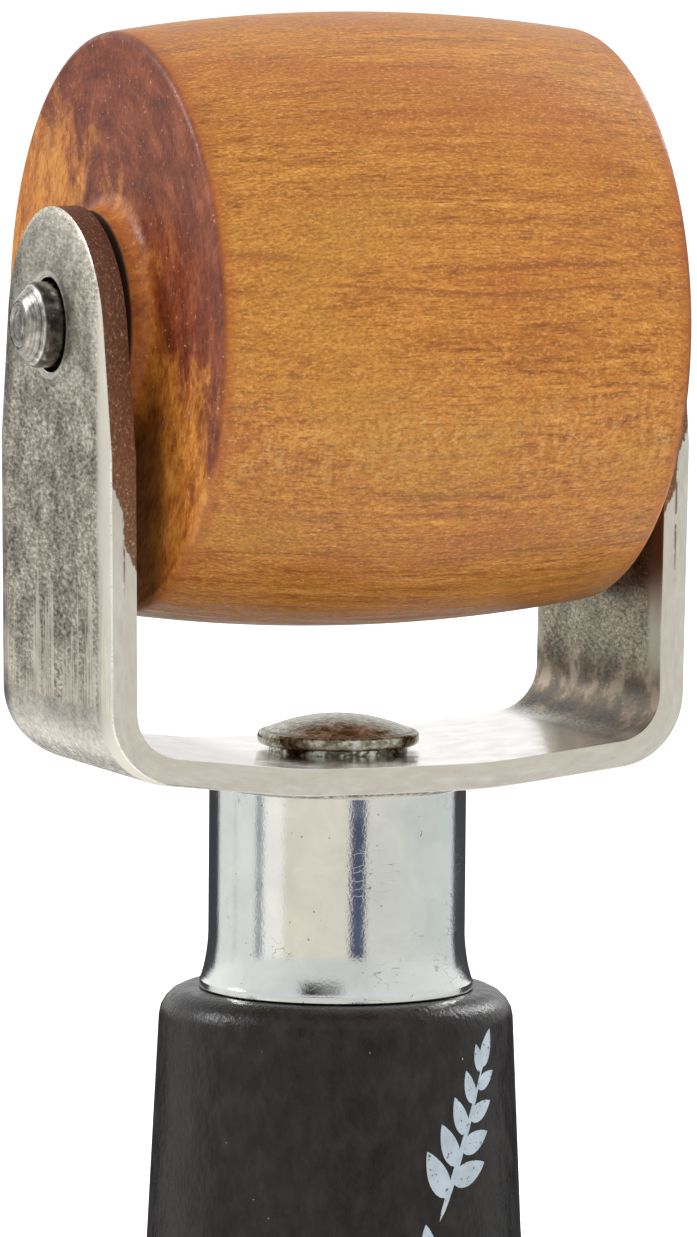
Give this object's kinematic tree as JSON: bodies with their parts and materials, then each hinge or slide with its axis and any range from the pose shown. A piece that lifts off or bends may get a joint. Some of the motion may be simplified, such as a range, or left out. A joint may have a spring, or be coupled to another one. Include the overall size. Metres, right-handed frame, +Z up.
{
  "type": "hand brayer",
  "caption": "Hand brayer: a crowned hardwood roller turning in a bent steel fork, with a bright ferrule and a turned black handle.",
  "frame": {"origin": "middle of the flat on the handle's butt, where the tool stands", "axes": "+Z up the handle's axis to the roller, +X along the axle, +Y to the back"},
  "size_m": [0.0444, 0.0388, 0.1772],
  "materials": {
    "black_paint": "satin black paint over turned hardwood",
    "bright_zinc": "bright zinc plate on drawn steel",
    "dull_nickel": "dull nickel plate on steel",
    "strip_steel": "satin rolled steel strip",
    "bright_steel": "turned bright steel",
    "oiled_wood": "oiled close-grained hardwood"
  },
  "bodies": {
    "handle_and_fork": {"handle": "black_paint", "ferrule": "bright_zinc", "rivet_collar": "dull_nickel", "tang_rivet": "dull_nickel", "fork": "strip_steel"},
    "roller_on_axle": {"axle_pin": "bright_steel", "roller": "oiled_wood"}
  },
  "joints": [
    {"name": "roller_spin", "type": "hinge", "parent": "handle_and_fork", "child": "roller_on_axle", "pos_m": [0.0002, 0, 0.15775], "axis": [1, 0, 0], "continuous": true}
  ]
}
